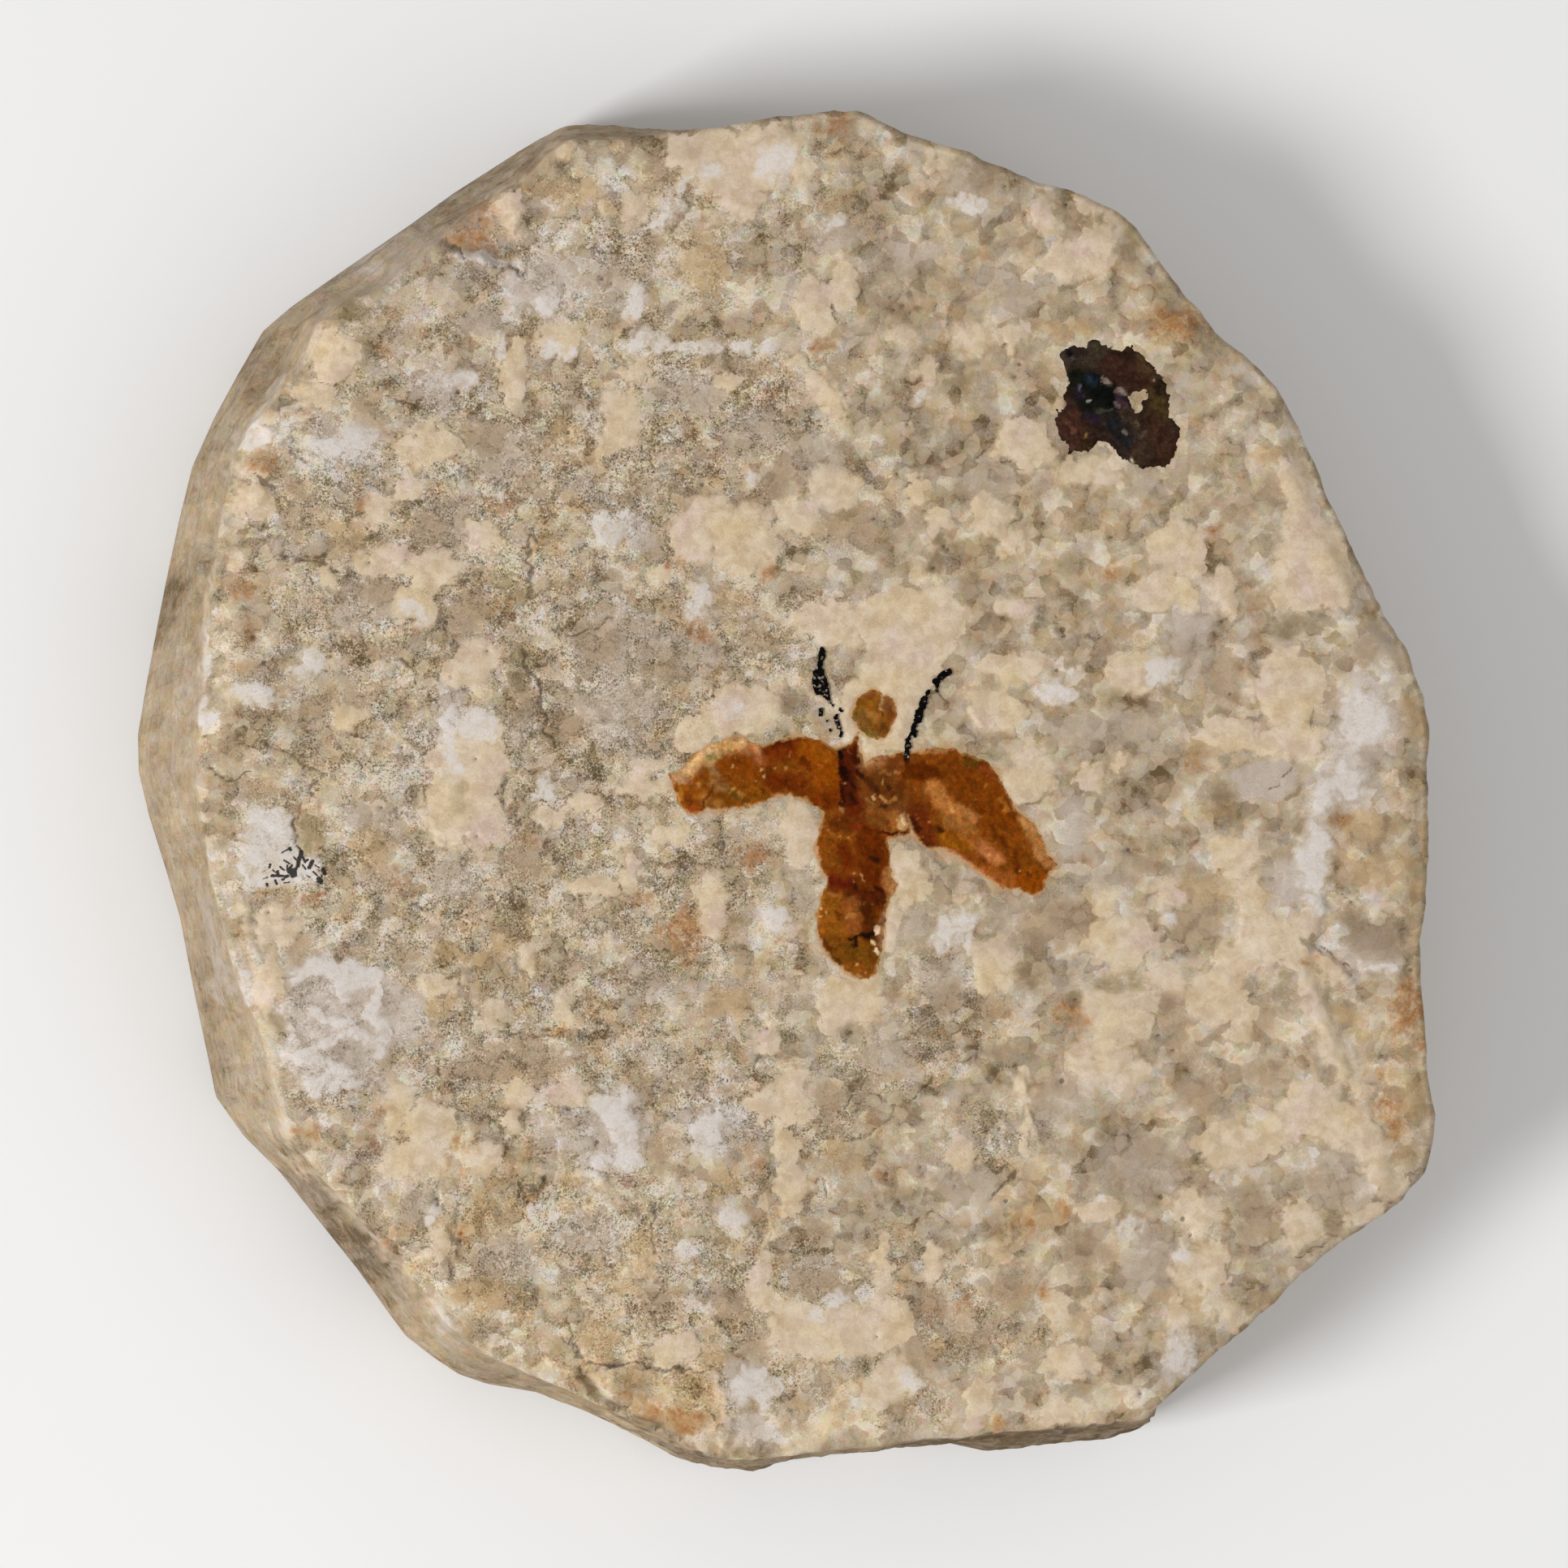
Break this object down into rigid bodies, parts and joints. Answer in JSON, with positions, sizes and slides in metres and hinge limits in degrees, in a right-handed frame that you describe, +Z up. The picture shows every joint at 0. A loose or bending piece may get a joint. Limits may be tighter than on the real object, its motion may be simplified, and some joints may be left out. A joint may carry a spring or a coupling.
{
  "type": "fossil march fly",
  "caption": "Flattened fossil march fly with spread wings, loose head and antennae, lying in the upper face of a rough pale limestone slab, with a dark plant flake near the edge.",
  "frame": {"origin": "middle of the bounding box, on the plane that the slab rests on", "axes": "+Z up out of the bedding face that holds the fly, +Y along the slab's longer side, from the fly's abdomen towards its head, +X to the right seen from above with the head away from the viewer"},
  "size_m": [0.0532, 0.056, 0.0093],
  "materials": {
    "limestone": "rough, split along its bedding, mottled cream and grey with rust stains",
    "brown_film": "thin orange-brown mineral film, slightly glossy",
    "black_film": "black carbon film, dull",
    "flake_film": "black to dark brown carbon film, dull"
  },
  "bodies": {
    "root": {"slab": "limestone", "fly": "brown_film", "fly_head": "brown_film", "left_antenna": "black_film", "right_antenna": "black_film", "dark_flake": "flake_film"}
  },
  "joints": []
}
